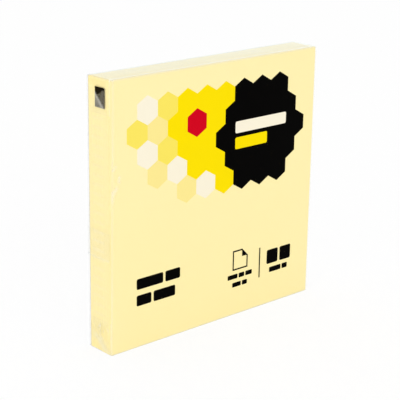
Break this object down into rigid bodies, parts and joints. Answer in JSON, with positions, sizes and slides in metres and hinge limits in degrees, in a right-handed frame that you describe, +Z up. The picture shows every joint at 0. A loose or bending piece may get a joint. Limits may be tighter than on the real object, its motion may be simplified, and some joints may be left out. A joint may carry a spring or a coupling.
{
  "type": "sticky note pad",
  "caption": "Square pad of yellow sticky notes on a backing sheet, standing upright in a clear folded film with a printed front.",
  "frame": {"origin": "centre of the bottom face that the pad stands on", "axes": "+X to the right along the front, -Y out of the printed front, +Z up"},
  "size_m": [0.0768, 0.0098, 0.0763],
  "materials": {
    "note_paper": "matt uncoated pale yellow paper",
    "backing_paper": "smooth coated white paper",
    "clear_film": "clear glossy film",
    "black_ink": "glossy print",
    "yellow_ink": "glossy print",
    "cream_ink": "glossy print",
    "light_ink": "glossy print",
    "pale_ink": "glossy print",
    "red_ink": "glossy print",
    "mark_ink": "glossy print"
  },
  "bodies": {
    "root": {"note_block": "note_paper", "backing_sheet": "backing_paper", "film_wrap": "clear_film", "print_black": "black_ink", "print_yellow": "yellow_ink", "print_cream": "cream_ink", "print_light": "light_ink", "print_pale": "pale_ink", "print_red": "red_ink", "register_mark": "mark_ink"}
  },
  "joints": []
}
